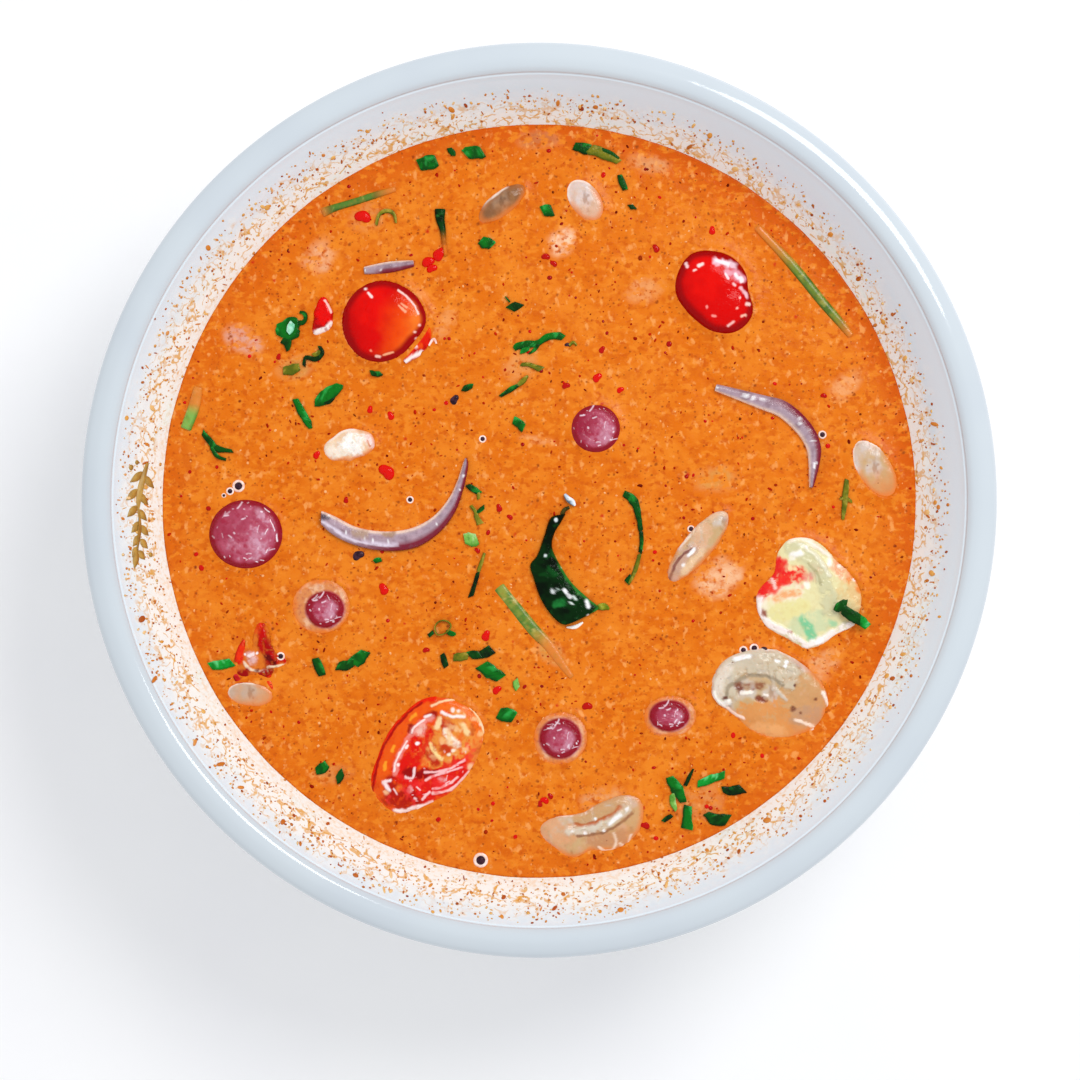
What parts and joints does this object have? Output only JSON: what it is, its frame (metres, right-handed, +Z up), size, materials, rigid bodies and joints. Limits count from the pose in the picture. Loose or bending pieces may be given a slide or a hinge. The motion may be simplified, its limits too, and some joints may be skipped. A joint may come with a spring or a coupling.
{
  "type": "bowl of tom yum soup",
  "caption": "Round white bowl of creamy orange hot and sour soup with tomato, shallot, mushroom, leaf and herb pieces at its surface.",
  "frame": {"origin": "centre of the foot ring's flat base, on the surface that the bowl stands on", "axes": "+Z up along the bowl's axis; +Y towards the top of the overhead view; +X to its right"},
  "size_m": [0.19, 0.19, 0.072],
  "materials": {
    "porcelain": "white feldspathic glaze, gloss",
    "broth": "creamy orange coconut and chilli broth, wet gloss",
    "tomato": "wet red tomato skin and flesh",
    "pale_tomato": "wet pale green and cream tomato flesh with a red side",
    "shallot": "wet magenta shallot slice",
    "onion": "wet mauve red onion sliver",
    "mushroom": "wet pale grey-beige mushroom slice",
    "brown_mushroom": "wet brown mushroom piece",
    "leaf": "dark green wet leaf",
    "stalk": "green cooked stalk, thinly covered by broth",
    "chilli": "wet red chilli skin"
  },
  "bodies": {
    "root": {"bowl": "porcelain", "soup": "broth", "tomato_round": "tomato", "tomato_bean": "tomato", "tomato_wedge": "tomato", "tomato_pale": "pale_tomato", "shallot_left": "shallot", "shallot_ringed": "shallot", "shallot_centre": "shallot", "shallot_low": "shallot", "shallot_right": "shallot", "mushroom_big": "mushroom", "mushroom_low": "mushroom", "mushroom_fold": "mushroom", "mushroom_oval": "mushroom", "mushroom_brown": "brown_mushroom", "mushroom_clear": "mushroom", "mushroom_grey": "mushroom", "mushroom_white": "mushroom", "chilli_skin": "chilli", "chilli_cut": "chilli", "onion_long": "onion", "onion_right": "onion", "onion_sliver": "onion", "lime_leaf": "leaf", "stalk_dark_end": "leaf", "stalk_right": "stalk", "stalk_left": "stalk", "stalk_pale": "stalk", "stalk_edge": "stalk"}
  },
  "joints": []
}
